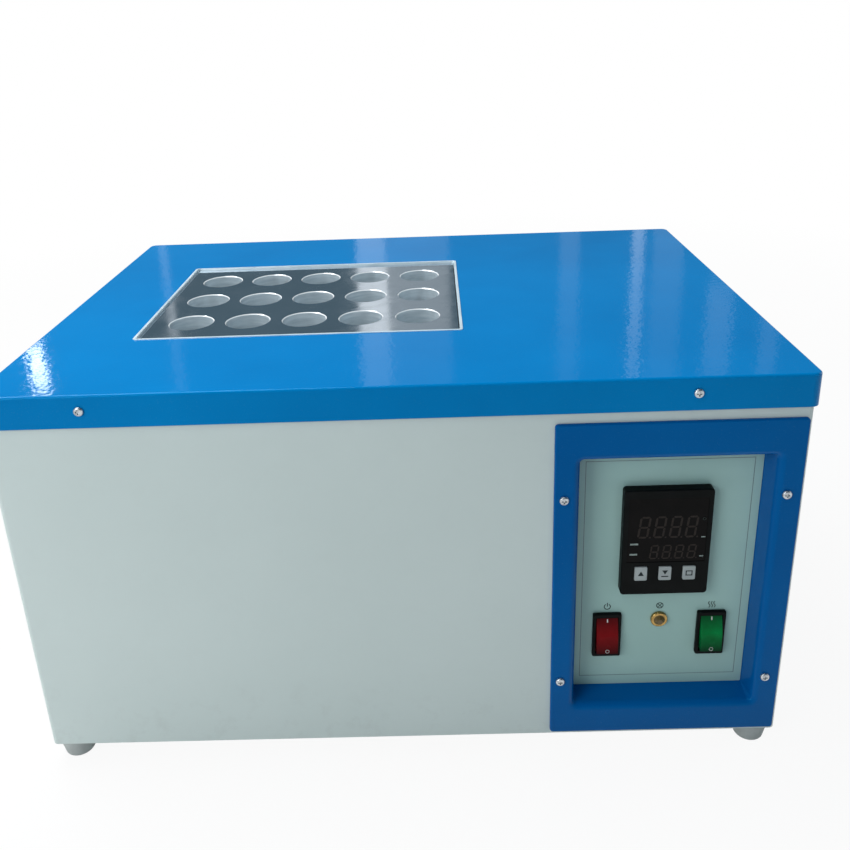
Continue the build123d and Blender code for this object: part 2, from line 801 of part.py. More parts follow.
# ---------------------------------------------------------------- rocker switches
def switch_housing(x):
    """A snap-in rocker housing: rim, open well for the rocker, body behind the panel and trunnion holes."""
    rim = rounded_plate(span(x, switch_width), (switch_rim, label_front), span(switch_z, switch_height),
                        switch_corner_r)
    rim = fillet(rim.faces().sort_by(Axis.Y)[0].edges(), switch_edge_r)
    body = block(span(x, switch_body_width), (label_front, label_front + switch_body_depth),
                 span(switch_z, switch_body_height))
    swing = (rocker_half_height ** 2 + rocker_shoulder ** 2) ** 0.5 + rocker_swing_gap
    well_floor = rocker_pivot + rocker_back + rocker_well_clearance
    well = block(span(x, rocker_width + 2 * rocker_gap), (switch_rim - 1, well_floor),
                 span(switch_z, 2 * swing))
    reach = rocker_width / 2 + trunnion_length + 2 * rocker_gap
    holes = rod_x((x - reach, x + reach), rocker_pivot, switch_z, trunnion_radius + trunnion_gap)
    return rim + body - well - holes


def rocker(x):
    """The rocker, two facets meeting in a ridge, on its trunnions, stored with its top pressed in."""
    outline = Polyline(
        (-rocker_ridge, 0), (-rocker_shoulder, rocker_half_height), (0, rocker_half_height - rocker_cheek),
        (rocker_back, rocker_back_half_height), (rocker_back, -rocker_back_half_height),
        (0, rocker_cheek - rocker_half_height), (-rocker_shoulder, -rocker_half_height), close=True)
    body = extrude(Plane.YZ * make_face(outline), rocker_width / 2, both=True)
    body = fillet(body.faces().sort_by(Axis.X)[0].edges().sort_by(Axis.Y)[:2], rocker_edge_r)
    body = fillet(body.faces().sort_by(Axis.X)[-1].edges().sort_by(Axis.Y)[:2], rocker_edge_r)
    pin_length = rocker_width + 2 * (trunnion_length + rocker_gap)
    body += Rot(0, 90, 0) * Cylinder(trunnion_radius, pin_length)
    return at(x, rocker_pivot, switch_z) * Rot(-rocker_tilt, 0, 0) * body


def switch_terminals(x):
    """The four push-on blades at the back of a switch."""
    back = label_front + switch_body_depth
    blades = []
    for blade_x in span(x, blade_pitch_x):
        for blade_z in span(switch_z, blade_pitch_z):
            blades.append(block(span(blade_x, blade_thickness), (back, back + blade_length),
                                span(blade_z, blade_width)))
    return blades


# ---------------------------------------------------------------- load lamp
def lamp_bezel():
    """The turned brass bezel and threaded barrel."""
    ring = rod_y(lamp_x, (label_front - lamp_bezel_height, label_front), lamp_z, lamp_bezel_diameter / 2)
    ring = fillet(ring.edges().sort_by(Axis.Y)[0], lamp_bezel_edge_r)
    barrel = rod_y(lamp_x, (label_front, label_front + lamp_length), lamp_z, lamp_thread_diameter / 2)
    seat = rod_y(lamp_x, (label_front - lamp_bezel_height - 1, label_front), lamp_z, lamp_lens_diameter / 2)
    return ring + barrel - seat


def lamp_lens():
    """The amber lens, cut like a jewel: a round seat in the bezel under a tapered, faceted crown."""
    stem = rod_y(lamp_x, (label_front - lamp_bezel_height, label_front), lamp_z, lamp_lens_diameter / 2)
    outline = Plane.XZ * RegularPolygon(lamp_lens_diameter / 2, lamp_lens_facets)
    crown = extrude(outline, lamp_lens_height - lamp_bezel_height, taper=lamp_facet_taper)
    return stem + at(lamp_x, label_front - lamp_bezel_height, lamp_z) * crown


def lamp_nut():
    back = tray_floor + panel_sheet
    nut = hexagon_nut(lamp_nut_width, lamp_nut_height, lamp_thread_diameter / 2)
    return at(lamp_x, back, lamp_z) * Rot(-90, 0, 0) * nut


# ---------------------------------------------------------------- back fittings
def cable_gland():
    """The nylon gland for the mains cord: barrel through the panel, hexagon and domed clamping nut."""
    face = cabinet_depth + back_sheet
    dome_y = (face + gland_flange, face + gland_flange + gland_dome)
    hexagon = at(gland_x, face, gland_z) * Rot(-90, 0, 0) * hexagon_nut(gland_nut_width, gland_flange, 1)
    dome = rod_y(gland_x, dome_y, gland_z, gland_dome_radius)
    dome = fillet(dome.edges().sort_by(Axis.Y)[-1], gland_dome_edge_r)
    barrel = rod_y(gland_x, (cabinet_depth - gland_barrel, face), gland_z, gland_thread_radius)
    bore = rod_y(gland_x, (cabinet_depth - 20, face + 40), gland_z, gland_hole_radius)
    return hexagon + dome + barrel - bore


def gland_nut():
    nut = hexagon_nut(gland_nut_width, gland_nut_height, gland_thread_radius)
    return at(gland_x, cabinet_depth, gland_z) * Rot(90, 0, 0) * nut


def fuse_holder():
    face = cabinet_depth + back_sheet
    flange = rod_y(fuse_x, (face, face + fuse_flange), fuse_z, fuse_flange_radius)
    barrel = rod_y(fuse_x, (face - fuse_length, face), fuse_z, fuse_body_radius)
    seat_y = (face - fuse_stem_length - 1, face + fuse_flange + 1)
    seat = rod_y(fuse_x, seat_y, fuse_z, fuse_stem_radius + fuse_turn_gap)
    return flange + barrel - seat


def fuse_cap():
    """The bayonet cap of the fuse holder, slotted for a screwdriver, with the stem that holds the fuse."""
    face = cabinet_depth + back_sheet + fuse_flange + fit_gap
    knob = rod_y(fuse_x, (face, face + fuse_cap_height), fuse_z, fuse_cap_radius)
    knob = fillet(knob.edges().sort_by(Axis.Y)[-1], 1)
    knob += rod_y(fuse_x, (face - fuse_stem_length, face), fuse_z, fuse_stem_radius)
    knob_end = face + fuse_cap_height
    slot = block(span(fuse_x, fuse_slot_width), (knob_end - fuse_slot_depth, knob_end + 1),
                 span(fuse_z, 3 * fuse_cap_radius))
    return knob - slot


def fuse_nut():
    nut = hexagon_nut(fuse_nut_width, fuse_nut_height, fuse_body_radius)
    return at(fuse_x, cabinet_depth, fuse_z) * Rot(90, 0, 0) * nut


# ---------------------------------------------------------------- electrical compartment
def heat_shield():
    """The upright sheet between the hot chamber and the electrical compartment."""
    y = (cabinet_sheet + shield_inset, cabinet_depth - cabinet_sheet - shield_inset)
    wall = block((shield_x, shield_x + shield_sheet), y, (base_top, cabinet_height - shield_inset))
    foot = block((shield_x, shield_x + shield_foot), y, (base_top, base_top + shield_sheet))
    wall -= rod_x((shield_x - 5, shield_x + 5), strip_y, shield_hole_z, shield_hole_radius)
    return wall + foot


def relay_heat_sink():
    """An extruded aluminium sink standing on the base plate, with its fins to the right."""
    y = span(sink_y, sink_length)
    z = (base_top, base_top + sink_height)
    sink = block((sink_x, sink_x + sink_base), y, z)
    step = (sink_length - fin_thickness) / (fin_count - 1)
    for fin in range(fin_count):
        low = y[0] + fin * step
        sink += block((sink_x, sink_x + sink_base + fin_length), (low, low + fin_thickness), z)
    return sink


def solid_state_relay():
    """The relay on the flat face of the heat sink, with its four terminal wells."""
    z = base_top + sink_height / 2
    case = block((sink_x - relay_depth, sink_x), span(sink_y, relay_width), span(z, relay_height))
    face = sink_x - relay_depth
    for terminal_y in span(sink_y, relay_terminal_pitch_y):
        for terminal_z in span(z, relay_terminal_pitch_z):
            case -= block((face - 1, face + relay_terminal_depth), span(terminal_y, relay_terminal_width),
                          span(terminal_z, relay_terminal_height))
    return case


def terminal_strip():
    """The mains terminal strip on the base plate."""
    length = strip_ways * strip_pitch
    strip = block(span(strip_x, length), span(strip_y, strip_width), (base_top, base_top + strip_height))
    for way in range(strip_ways):
        x = strip_x - length / 2 + (way + 0.5) * strip_pitch
        top = base_top + strip_height
        for y in span(strip_y, strip_hole_pitch):
            strip -= rod_z(x, y, (top - strip_hole_depth, top + 1), strip_hole_radius)
    return strip


# ---------------------------------------------------------------- feet
def foot_places():
    """(x, y) of the feet, front left, front right, back left and back right."""
    for y in (foot_inset, cabinet_depth - foot_inset):
        for x in (foot_inset, cabinet_width - foot_inset):
            yield (x, y)


def foot(x, y):
    """A tapered rubber foot in the cabinet's corner, with a washer seat in its rounded tip."""
    body = Cone(foot_tip_diameter / 2, foot_top_diameter / 2, foot_height)
    body = fillet(body.edges().sort_by(Axis.Z)[0], foot_tip_edge_r)
    body = at(x, y, -foot_height / 2) * body
    body -= rod_z(x, y, (-foot_height - 1, -foot_height + foot_recess_depth), foot_recess_radius)
    return body - rod_z(x, y, (-foot_height - 1, 1), foot_screw_radius + fit_gap)


def foot_fasteners():
    """A screw with its washer head and nut for each foot."""
    pieces = []
    for x, y in foot_places():
        seat = foot_recess_depth - foot_height
        head = rod_z(x, y, (seat - foot_washer_height, seat), foot_recess_radius - foot_washer_gap)
        pieces.append(head + rod_z(x, y, (seat, base_top + foot_screw_end), foot_screw_radius))
        pieces.append(at(x, y, base_top) * hexagon_nut(foot_nut_width, foot_nut_height, foot_screw_radius))
    return pieces


def cover_screws():
    front = [screw_front(x, -cover_reach, cover_screw_z) for x in cover_screw_x]
    back = [screw_back(x, cabinet_depth + cover_reach, cover_screw_z) for x in cover_screw_x]
    return front + back


def back_screws():
    return [screw_back(x, cabinet_depth + back_sheet, z) for x, z in back_screw_places()]


# ---------------------------------------------------------------- writing the sub-parts
def nodes():
    """Every sub-part by its name."""
    made = {
        "cabinet_shell": cabinet_shell(),
        "base_plate": base_plate(),
        "back_panel": back_panel(),
        "top_cover": top_cover(),
        "opening_trim": opening_trim(),
        "heater_block": heater_block(),
        "strip_heaters": strip_heaters(),
        "clamp_plate": clamp_plate(),
        "clamp_screws": clamp_screws(),
        "block_pillars": block_pillars(),
        "base_insulation": base_wool(),
        "jacket_insulation": jacket_wool(),
        "inner_tub": inner_tub(),
        "tub_legs": tub_legs(),
        "temperature_probe": temperature_probe(),
        "control_panel": control_panel(),
        "panel_label": panel_label(),
        "panel_screws": panel_screws(),
        "controller_housing": controller_housing(),
        "controller_window": controller_window(),
        "controller_clamps": controller_clamps(),
        "mains_switch_housing": switch_housing(mains_switch_x),
        "mains_rocker": rocker(mains_switch_x),
        "mains_switch_terminals": switch_terminals(mains_switch_x),
        "heat_switch_housing": switch_housing(heat_switch_x),
        "heat_rocker": rocker(heat_switch_x),
        "heat_switch_terminals": switch_terminals(heat_switch_x),
        "lamp_bezel": lamp_bezel(),
        "lamp_lens": lamp_lens(),
        "lamp_nut": lamp_nut(),
        "cable_gland": cable_gland(),
        "gland_nut": gland_nut(),
        "fuse_holder": fuse_holder(),
        "fuse_nut": fuse_nut(),
        "fuse_cap": fuse_cap(),
        "heat_shield": heat_shield(),
        "relay_heat_sink": relay_heat_sink(),
        "solid_state_relay": solid_state_relay(),
        "terminal_strip": terminal_strip(),
        "cover_screws": cover_screws(),
        "back_panel_screws": back_screws(),
        "foot_fasteners": foot_fasteners(),
    }
    for name, x in zip(("up_key", "down_key", "set_key"), key_places()):
        made[name] = controller_key(x)
    for name, (x, y) in zip(("front_left", "front_right", "back_left", "back_right"), foot_places()):
        made[f"foot_{name}"] = foot(x, y)
    return made


os.makedirs("parts", exist_ok=True)
for name, shape in nodes().items():
    if isinstance(shape, list):
        shape = Compound(children=shape)
    export_step(shape, f"parts/{name}.step")
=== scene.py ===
"""Looks of the chemical oxygen demand reactor: finishes, printed marks, floor, light and camera.

Each sub-part of the frame gets a procedural finish by its material slot. The marks are drawn in millimetres
from the middle of the sub-part that they belong to, x to the right and z up. Other lengths are in metres.
"""

import json
import math

import bpy
from mathutils import Matrix, Vector


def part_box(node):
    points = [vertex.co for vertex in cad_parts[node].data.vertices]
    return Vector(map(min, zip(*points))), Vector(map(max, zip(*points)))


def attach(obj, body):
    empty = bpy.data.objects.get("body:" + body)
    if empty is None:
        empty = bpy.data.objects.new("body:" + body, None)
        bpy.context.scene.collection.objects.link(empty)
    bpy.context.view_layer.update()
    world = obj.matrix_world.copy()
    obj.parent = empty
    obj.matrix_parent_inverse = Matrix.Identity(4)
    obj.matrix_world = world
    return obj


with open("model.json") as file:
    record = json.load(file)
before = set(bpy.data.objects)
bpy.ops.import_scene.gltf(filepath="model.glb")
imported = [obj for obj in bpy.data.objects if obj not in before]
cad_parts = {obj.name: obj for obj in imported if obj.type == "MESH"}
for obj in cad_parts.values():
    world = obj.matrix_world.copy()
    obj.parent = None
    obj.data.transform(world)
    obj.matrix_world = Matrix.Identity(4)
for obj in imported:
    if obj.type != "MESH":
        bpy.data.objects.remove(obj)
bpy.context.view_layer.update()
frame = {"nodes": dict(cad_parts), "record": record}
NODES = frame["nodes"]
MM = 1000.0  # millimetres in a metre

# Heights between which the block's finish changes, from bored wall to a band of painted highlight at the
# top of each bore, and from that band to skimmed face.
BLOCK_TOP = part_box("heater_block")[1][2]
WALL_TO_RIM_HIGHLIGHT = (BLOCK_TOP - 0.0010, BLOCK_TOP - 0.0008)
RIM_HIGHLIGHT_TO_FACE = (BLOCK_TOP - 0.00012, BLOCK_TOP - 0.00004)


# ---------------------------------------------------------------- node helpers
class Finish:
    """A procedural material built round one Principled shader, in object coordinates."""

    def __init__(self, name, **sockets):
        self.mat = bpy.data.materials.new(name)
        self.mat.use_nodes = True
        self.tree = self.mat.node_tree
        self.bsdf = self.tree.nodes["Principled BSDF"]
        self.fill(self.bsdf, sockets)
        self.coords = self.node("ShaderNodeTexCoord").outputs["Object"]

    @staticmethod
    def fill(node, sockets):
        """Values for a node's sockets; an underscore in a name stands for a space."""
        for socket, value in sockets.items():
            node.inputs[socket.replace("_", " ")].default_value = value

    def node(self, kind, **sockets):
        """A new node with values on its sockets."""
        node = self.tree.nodes.new(kind)
        self.fill(node, sockets)
        return node

    def link(self, output, socket):
        """A wire from one node's output to another node's socket."""
        self.tree.links.new(output, socket)

    def noise(self, scale, detail=4.0, rough=0.55, stretch=(1, 1, 1), distortion=0.0):
        """Cloudy noise, drawn out along an axis whose stretch is under 1 and squeezed if it is over 1."""
        mapping = self.node("ShaderNodeMapping", Scale=stretch)
        self.link(self.coords, mapping.inputs["Vector"])
        node = self.node("ShaderNodeTexNoise", Scale=scale, Detail=detail, Roughness=rough,
                         Distortion=distortion)
        self.link(mapping.outputs["Vector"], node.inputs["Vector"])
        return node.outputs["Fac"]

    def cells(self, scale):
        """Distance from the middles of irregular cells."""
        node = self.node("ShaderNodeTexVoronoi", Scale=scale)
        self.link(self.coords, node.inputs["Vector"])
        return node.outputs["Distance"]

    def spread(self, value, low, high, start=0.3, end=0.7):
        """Value, taken from start to end, spread over low to high."""
        node = self.node("ShaderNodeMapRange", From_Min=start, From_Max=end, To_Min=low, To_Max=high)
        self.link(value, node.inputs["Value"])
        return node.outputs["Result"]

    def blend(self, fac, a, b):
        """Colour a where fac is 0 and b where it is 1; a or b may be a colour or an output."""
        node = self.node("ShaderNodeMix")
        node.data_type = "RGBA"
        self.link(fac, node.inputs[0])
        for socket, value in ((node.inputs[6], a), (node.inputs[7], b)):
            if isinstance(value, tuple):
                socket.default_value = (*value, 1.0)
            else:
                self.link(value, socket)
        return node.outputs[2]

    def mottle(self, pattern, a, b, start=0.3, end=0.7):
        """Colour that drifts with a pattern, from a at its start to b at its end."""
        return self.blend(self.spread(pattern, 0.0, 1.0, start, end), a, b)

    def mixed(self, fac, a, b):
        """Value a where fac is 0 and b where it is 1."""
        node = self.node("ShaderNodeMix")
        self.link(fac, node.inputs[0])
        self.link(a, node.inputs[2])
        self.link(b, node.inputs[3])
        return node.outputs[0]

    def maths(self, operation, a, b):
        """Two values put together by one operation."""
        node = self.node("ShaderNodeMath")
        node.operation = operation
        self.link(a, node.inputs[0])
        self.link(b, node.inputs[1])
        return node.outputs[0]

    def height(self):
        """Height above the floor, with the object at rest."""
        node = self.node("ShaderNodeSeparateXYZ")
        self.link(self.coords, node.inputs[0])
        return node.outputs["Z"]

    def colour(self, output):
        """The base colour comes from an output."""
        self.link(output, self.bsdf.inputs["Base Color"])

    def metallic(self, output):
        """The share of metal comes from an output."""
        self.link(output, self.bsdf.inputs["Metallic"])

    def roughness(self, output):
        """The roughness comes from an output."""
        self.link(output, self.bsdf.inputs["Roughness"])

    def bump(self, output, strength, distance, after=None):
        """Relief from an output, laid over the relief given as after."""
        node = self.node("ShaderNodeBump", Strength=strength, Distance=distance)
        self.link(output, node.inputs["Height"])
        if after is not None:
            self.link(after, node.inputs["Normal"])
        self.link(node.outputs["Normal"], self.bsdf.inputs["Normal"])
        return node.outputs["Normal"]


# ---------------------------------------------------------------- finishes
def enamel(name, dark, light):
    """Glossy blue stove enamel: orange peel, cloudy colour, smears of handling and fine dust."""
    f = Finish(name, Metallic=0.0, Specular_IOR_Level=0.17, Specular_Tint=(0.10, 0.70, 1.0, 1.0))
    smear = f.noise(22, detail=6, rough=0.7, stretch=(1.0, 0.35, 1.0), distortion=0.6)
    dust = f.spread(f.noise(900, detail=2), 0.0, 0.07, 0.62, 0.74)
    base = f.mottle(f.noise(7, detail=3), dark, light)
    f.colour(f.blend(dust, base, (0.20, 0.32, 0.42)))
    f.roughness(f.spread(smear, 0.05, 0.11, 0.35, 0.75))
    peel = f.bump(f.noise(240, detail=1), 0.08, 0.0008)
    f.bump(f.noise(26, detail=2), 0.02, 0.004, after=peel)
    return f.mat


def powder():
    """Pale grey-green powder coat: fine grain, and faint darker blotches that are strongest low down."""
    f = Finish("grey_powder_coat", Metallic=0.0, IOR=1.45)
    blotches = f.spread(f.noise(38, detail=7, rough=0.7), 0.0, 1.0, 0.52, 0.72)
    low = f.spread(f.height(), 1.0, 0.12, 0.012, 0.09)
    base = f.mottle(f.noise(5, detail=4), (0.58, 0.665, 0.645), (0.61, 0.695, 0.675))
    # Faint darker blotches, darkest towards the bottom.
    darkening = f.spread(f.maths("MULTIPLY", blotches, low), 0.0, 0.22, 0.0, 1.0)
    f.colour(f.blend(darkening, base, (0.30, 0.31, 0.29)))
    f.roughness(f.spread(f.noise(60, detail=5), 0.34, 0.50))
    f.bump(f.noise(1300, detail=2), 0.12, 0.0004)
    return f.mat


def machined_aluminium():
    """Milled aluminium: a skimmed face like a dull mirror, a painted highlight in a band round the mouth of
    each bore, and duller bored walls.
    """
    f = Finish("machined_aluminium")
    height = f.height()
    face = f.spread(height, 0.0, 1.0, *RIM_HIGHLIGHT_TO_FACE)
    over_wall = f.spread(height, 0.0, 1.0, *WALL_TO_RIM_HIGHLIGHT)
    # Mask of the band at the top of each bore that carries a painted highlight.
    rim_highlight = f.maths("MULTIPLY", over_wall, f.spread(height, 1.0, 0.0, *RIM_HIGHLIGHT_TO_FACE))
    cloud = f.noise(11, detail=3)
    smear = f.noise(30, detail=6, rough=0.7, distortion=1.0)
    skimmed = f.mottle(cloud, (0.66, 0.72, 0.79), (0.76, 0.81, 0.87))
    rings = f.noise(40, detail=4, stretch=(1.0, 1.0, 8.0))
    bored = f.mottle(rings, (0.60, 0.68, 0.72), (0.80, 0.88, 0.93))
    # The band is painted as a highlight: near-white colour, with little metal.
    f.colour(f.blend(rim_highlight, f.blend(face, bored, skimmed), (0.92, 0.95, 0.97)))
    f.metallic(f.maths("MULTIPLY", f.spread(face, 0.5, 1.0, 0.0, 1.0), f.spread(rim_highlight, 1.0, 0.3)))
    f.roughness(f.mixed(face, f.spread(cloud, 0.14, 0.22), f.spread(smear, 0.05, 0.16, 0.35, 0.7)))
    f.bump(f.noise(160, detail=5, rough=0.7, stretch=(0.06, 3.0, 1.0)), 0.02, 0.0002)
    return f.mat


def bright_trim():
    """Bright anodised edging of the opening, with a fine level grain."""
    f = Finish("bright_trim", Metallic=0.35)
    grain = f.noise(240, detail=4, stretch=(0.2, 0.2, 1.0))
    f.colour(f.mottle(grain, (0.66, 0.80, 0.87), (0.78, 0.89, 0.94)))
    f.roughness(f.spread(grain, 0.30, 0.42))
    f.bump(grain, 0.04, 0.0001)
    return f.mat


def galvanised():
    """Galvanised sheet with a fine spangle."""
    f = Finish("galvanised_sheet", Metallic=1.0)
    f.colour(f.mottle(f.cells(90), (0.50, 0.53, 0.56), (0.66, 0.68, 0.70), 0.0, 0.6))
    f.roughness(f.spread(f.noise(40, detail=5), 0.34, 0.52))
    f.bump(f.noise(500, detail=2), 0.06, 0.0003)
    return f.mat


def plated():
    """Bright plated steel, slightly tarnished in patches."""
    f = Finish("plated_steel", Metallic=1.0)
    stain = f.noise(450, detail=5)
    f.colour(f.mottle(stain, (0.54, 0.58, 0.61), (0.30, 0.31, 0.31), 0.45, 0.75))
    f.roughness(f.spread(stain, 0.20, 0.40))
    f.bump(f.noise(1500, detail=2), 0.08, 0.0002)
    return f.mat


def stainless():
    """Stainless steel with its grain drawn out from left to right."""
    f = Finish("stainless_steel", Metallic=1.0)
    grain = f.noise(220, detail=5, stretch=(0.05, 1.0, 3.0))
    f.colour(f.mottle(grain, (0.56, 0.56, 0.55), (0.70, 0.70, 0.69)))
    f.roughness(f.spread(grain, 0.24, 0.36))
    f.bump(grain, 0.08, 0.0002)
    return f.mat


def wool():
    """Pale ceramic fibre board, matt, with a woolly grain."""
    f = Finish("ceramic_fibre_board", Metallic=0.0, Sheen_Weight=0.25)
    fibre = f.noise(300, detail=8, rough=0.75, stretch=(1.0, 0.3, 2.0), distortion=1.2)
    f.colour(f.mottle(fibre, (0.66, 0.64, 0.58), (0.84, 0.83, 0.79)))
    f.roughness(f.spread(fibre, 0.85, 0.98))
    f.bump(fibre, 0.5, 0.001)
    return f.mat


def ceramic():
    """Unglazed buff ceramic."""
    f = Finish("unglazed_ceramic", Metallic=0.0)
    f.colour(f.mottle(f.noise(160, detail=6), (0.68, 0.62, 0.52), (0.80, 0.75, 0.66)))
    f.roughness(f.spread(f.noise(300, detail=3), 0.55, 0.75))
    f.bump(f.noise(900, detail=2), 0.15, 0.0003)
    return f.mat


def label_film():
    """Pale printed film with a fine velvet grain."""
    f = Finish("label_film", Metallic=0.0, IOR=1.46)
    f.colour(f.mottle(f.noise(12, detail=3), (0.325, 0.515, 0.475), (0.35, 0.545, 0.51)))
    f.roughness(f.spread(f.noise(80, detail=4), 0.36, 0.48))
    f.bump(f.noise(2600, detail=1), 0.10, 0.00015)
    return f.mat


def moulded(name, dark, light, rough, grain=1800, strength=0.12, **sockets):
    """Moulded plastic with a spark-eroded grain and faint handling wear."""
    f = Finish(name, Metallic=0.0, **sockets)
    f.colour(f.mottle(f.noise(70, detail=5), dark, light))
    f.roughness(f.spread(f.noise(140, detail=5), *rough))
    f.bump(f.noise(grain, detail=2), strength, 0.0002)
    return f.mat


def rocker_plastic(name, node, painted_shade, dark, light):
    """Clear coloured plastic with painted light: brightest just above its middle, with painted shade darker
    to both ends.
    """
    f = Finish(name, Metallic=0.0, Specular_IOR_Level=0.06)
    low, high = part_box(node)[0][2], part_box(node)[1][2]
    # Painted light and shade: a painted highlight peaks at this height and fades to painted shade at both
    # ends.
    bright = low + (high - low) * 0.55
    shade_to_light = f.spread(f.height(), 0.0, 1.0, low, bright)
    light_to_shade = f.spread(f.height(), 1.0, 0.25, bright, high)
    clear = f.mottle(f.noise(70, detail=5), dark, light)
    # The painted shade colour blends into the plastic's own colour under the painted highlight.
    f.colour(f.blend(f.maths("MULTIPLY", shade_to_light, light_to_shade), painted_shade, clear))
    f.roughness(f.spread(f.noise(140, detail=5), 0.18, 0.28))
    f.bump(f.noise(1800, detail=2), 0.04, 0.0002)
    return f.mat


def brass():
    """Polished brass, stained in patches."""
    f = Finish("polished_brass", Metallic=1.0)
    stain = f.noise(320, detail=5)
    f.colour(f.mottle(stain, (0.44, 0.29, 0.10), (0.22, 0.14, 0.05), 0.4, 0.75))
    f.roughness(f.spread(stain, 0.14, 0.32))
    f.bump(f.noise(1400, detail=2), 0.06, 0.0002)
    return f.mat


def ink(name, colour, other, rough=(0.45, 0.6), **sockets):
    """Screen-printed ink, slightly patchy."""
    f = Finish(name, Metallic=0.0, **sockets)
    f.colour(f.mottle(f.noise(700, detail=4), colour, other))
    f.roughness(f.spread(f.noise(900, detail=3), *rough))
    f.bump(f.noise(2500, detail=1), 0.05, 0.0001)
    return f.mat


FINISHES = {
    "blue_paint": enamel("blue_enamel", (0.0, 0.180, 0.48), (0.0, 0.208, 0.54)),
    "grey_paint": powder(),
    "steel_screw": plated(),
    "zinc_sheet": galvanised(),
    "stainless": stainless(),
    "aluminium": machined_aluminium(),
    "wool": wool(),
    "ceramic": ceramic(),
    "label_film": label_film(),
    "black_plastic": moulded("black_moulding", (0.002, 0.003, 0.003), (0.005, 0.006, 0.006), (0.36, 0.50),
                             Specular_IOR_Level=0.06),
    "smoked_window": moulded("smoked_window", (0.003, 0.003, 0.003), (0.006, 0.005, 0.005), (0.10, 0.20),
                             strength=0.02, Specular_IOR_Level=0.06),
    "grey_key": moulded("grey_keys", (0.31, 0.35, 0.35), (0.38, 0.42, 0.42), (0.42, 0.55)),
    # Each rocker's first colour is painted shade at both of its ends; the other two are the plastic's own
    # colours.
    "red_rocker": rocker_plastic("red_rocker", "mains_rocker", (0.05, 0.001, 0.002), (0.17, 0.002, 0.004),
                                 (0.26, 0.006, 0.009)),
    "green_rocker": rocker_plastic("green_rocker", "heat_rocker", (0.0, 0.035, 0.012), (0.0, 0.17, 0.037),
                                   (0.001, 0.26, 0.06)),
    "brass": brass(),
    "amber_lens": moulded("amber_lens", (0.10, 0.065, 0.012), (0.17, 0.10, 0.02), (0.12, 0.22),
                          strength=0.03),
    "black_nylon": moulded("black_nylon", (0.012, 0.012, 0.012), (0.022, 0.022, 0.022), (0.42, 0.58)),
    "rubber": moulded("grey_rubber", (0.36, 0.39, 0.38), (0.46, 0.49, 0.48), (0.68, 0.82), grain=700,
                      strength=0.2),
    "relay_case": moulded("ivory_moulding", (0.62, 0.61, 0.55), (0.70, 0.69, 0.63), (0.40, 0.52)),
}
BLACK_INK = ink("dark_print", (0.014, 0.020, 0.022), (0.022, 0.030, 0.033), Specular_IOR_Level=0.1)
PALE_INK = ink("pale_print", (0.22, 0.28, 0.26), (0.28, 0.34, 0.32))
SEGMENT = ink("unlit_segments", (0.026, 0.021, 0.018), (0.036, 0.029, 0.026), (0.25, 0.4),
              Specular_IOR_Level=0.06)
RULE_INK = ink("grey_rule", (0.12, 0.16, 0.165), (0.15, 0.19, 0.195))
WHITE_INK = ink("white_print", (0.62, 0.62, 0.60), (0.70, 0.70, 0.68))

for entry in frame["record"]["subparts"]:
    node = NODES[entry["node"]]
    node.data.materials.clear()
    node.data.materials.append(FINISHES[entry["material_slot"]])

# Two sub-parts look different from the others in their slots.
NODES["opening_trim"].data.materials[0] = bright_trim()
NODES["control_panel"].data.materials[0] = enamel("panel_enamel", (0.0, 0.090, 0.320), (0.0, 0.106, 0.355))


# ---------------------------------------------------------------- drawing of printed marks
# How far the front and the back of a mark stand off the surface that it is printed on.
PRINT_FRONT = 0.00006
PRINT_BACK = PRINT_FRONT / 6
ROCKER_FACET = 2e-5  # square metres, which only the large slanted facets of a rocker's front exceed


def added(name, data):
    """A new object, in the scene."""
    obj = bpy.data.objects.new(name, data)
    bpy.context.scene.collection.objects.link(obj)
    return obj


def line(points, width, closed=False):
    """Four-sided strips along a row of points, each as wide as width."""
    strips = []
    ends = points[1:] + points[:1] if closed else points[1:]
    for (x0, z0), (x1, z1) in zip(points, ends):
        length = math.hypot(x1 - x0, z1 - z0)
        dx = (x1 - x0) / length * width / 2
        dz = (z1 - z0) / length * width / 2
        strips.append([(x0 - dx + dz, z0 - dz - dx), (x1 + dx + dz, z1 + dz - dx),
                       (x1 + dx - dz, z1 + dz + dx), (x0 - dx - dz, z0 - dz + dx)])
    return strips


def arc(x, z, radius, start, end, steps=24):
    """Points of an arc, from start to end in degrees."""
    turns = [math.radians(start + (end - start) * i / steps) for i in range(steps + 1)]
    return [(x + radius * math.cos(t), z + radius * math.sin(t)) for t in turns]


def rectangle(left, low, right, high):
    """The four corners of an upright rectangle."""
    return [(left, low), (right, low), (right, high), (left, high)]


def bar_mark(x, z, wide, tall):
    """A level bar about its middle."""
    return [rectangle(x - wide / 2, z - tall / 2, x + wide / 2, z + tall / 2)]


def facing(name):
    """The plane of a sub-part's front: its middle, its right and its up."""
    low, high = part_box(name)
    middle = Vector(((low[0] + high[0]) / 2, low[1], (low[2] + high[2]) / 2))
    return middle, Vector((1, 0, 0)), Vector((0, 0, 1))


def on_label(name):
    """The film's front plane, with its middle in line with another sub-part's."""
    middle, across, up = facing(name)
    return Vector((middle.x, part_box("panel_label")[0][1], middle.z)), across, up


def facet(name, highest):
    """The plane of the highest or lowest of the large slanted facets on a rocker's front."""
    node = NODES[name]
    front = [p for p in node.data.polygons if p.normal.y < -0.9 and p.area > ROCKER_FACET]
    spot = sorted(front, key=lambda p: p.center.z)[-1 if highest else 0]
    normal = node.matrix_world.to_3x3() @ spot.normal
    up = Vector((0, 0, 1)) - normal * normal.z
    middle = node.matrix_world @ spot.center
    middle.x = facing(name)[0].x
    return middle, Vector((1, 0, 0)), up.normalized()


